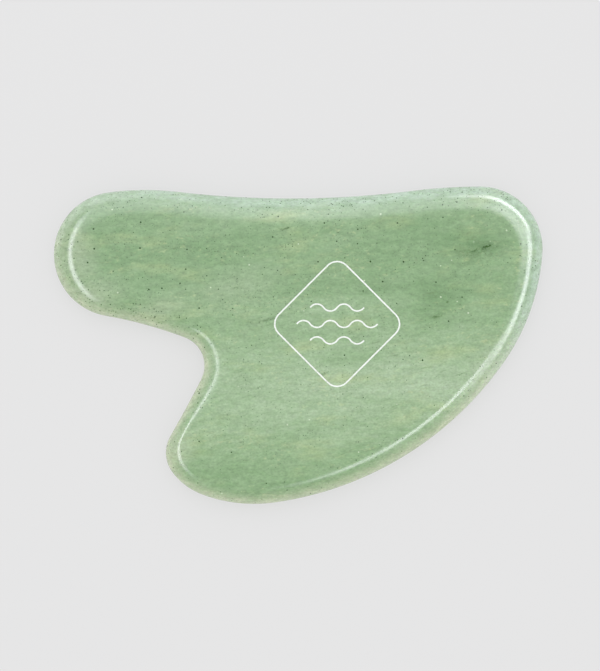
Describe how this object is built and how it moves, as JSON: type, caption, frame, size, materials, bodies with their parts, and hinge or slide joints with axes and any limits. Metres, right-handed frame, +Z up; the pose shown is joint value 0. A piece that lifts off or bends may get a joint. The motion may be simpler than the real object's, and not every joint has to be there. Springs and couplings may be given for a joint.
{
  "type": "gua sha scraper",
  "caption": "Flat massage plate carved from polished green stone, with a rounded finger tab, a notch, a blunt toe and a long curved scraping edge.",
  "frame": {"origin": "middle of the back face, under the centre of the plate's bounding box", "axes": "+X along the length from the toe side to the heel, +Y towards the finger tab's side, +Z up through the thickness to the marked front face"},
  "size_m": [0.09, 0.0584, 0.006],
  "materials": {
    "green_stone": "polished, slightly translucent pale green quartz-like stone with soft bands and fine dark specks",
    "white_inlay": "white paint wiped into engraved lines"
  },
  "bodies": {
    "root": {"stone_blade": "green_stone", "mark_border_fill": "white_inlay", "mark_wave_fill": "white_inlay"}
  },
  "joints": []
}
